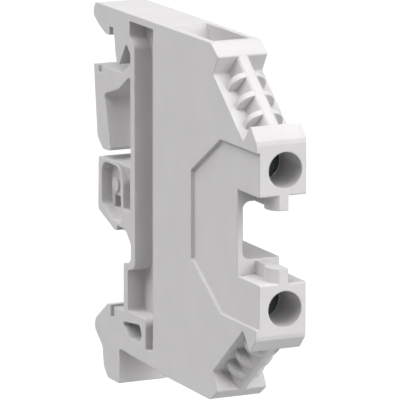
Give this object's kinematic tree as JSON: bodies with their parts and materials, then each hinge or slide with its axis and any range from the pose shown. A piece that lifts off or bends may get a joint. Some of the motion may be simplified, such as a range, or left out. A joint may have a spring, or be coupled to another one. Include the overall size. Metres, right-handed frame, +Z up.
{
  "type": "feed-through terminal block",
  "caption": "Slim moulded rail-mount terminal block with a screw clamp at each end and a sprung rail foot.",
  "frame": {"origin": "middle of the mounting rail, in the front plane of the rail's two lips", "axes": "+X along the rail towards the open side, -Y out to the front of the block, +Z up"},
  "size_m": [0.0062, 0.0445, 0.0454],
  "materials": {
    "housing_plastic": "fine matt moulded polyamide",
    "bar_metal": "tin-plated copper alloy",
    "cage_metal": "zinc-plated folded steel",
    "screw_metal": "zinc-plated turned steel"
  },
  "bodies": {
    "block": {"housing": "housing_plastic", "current_bar": "bar_metal"},
    "cage_upper": {"clamp_cage_upper": "cage_metal"},
    "cage_lower": {"clamp_cage_lower": "cage_metal"},
    "screw_upper": {"terminal_screw_upper": "screw_metal"},
    "screw_lower": {"terminal_screw_lower": "screw_metal"}
  },
  "joints": [
    {"name": "cage_lift_upper", "type": "slide", "parent": "block", "child": "cage_upper", "axis": [0, -1, 0], "range_m": [0, 0.003]},
    {"name": "screw_turn_upper", "type": "hinge", "parent": "block", "child": "screw_upper", "pos_m": [0.0005, -0.0285, 0.0071], "axis": [0, 1, 0], "range_deg": [0, 2160]},
    {"name": "cage_lift_lower", "type": "slide", "parent": "block", "child": "cage_lower", "axis": [0, -1, 0], "range_m": [0, 0.003]},
    {"name": "screw_turn_lower", "type": "hinge", "parent": "block", "child": "screw_lower", "pos_m": [0.0005, -0.0285, -0.0088], "axis": [0, 1, 0], "range_deg": [0, 2160]}
  ],
  "couplings": [
    {"joint": "screw_turn_upper", "follows": "cage_lift_upper", "rad_per_m": 12566},
    {"joint": "screw_turn_lower", "follows": "cage_lift_lower", "rad_per_m": 12566}
  ]
}
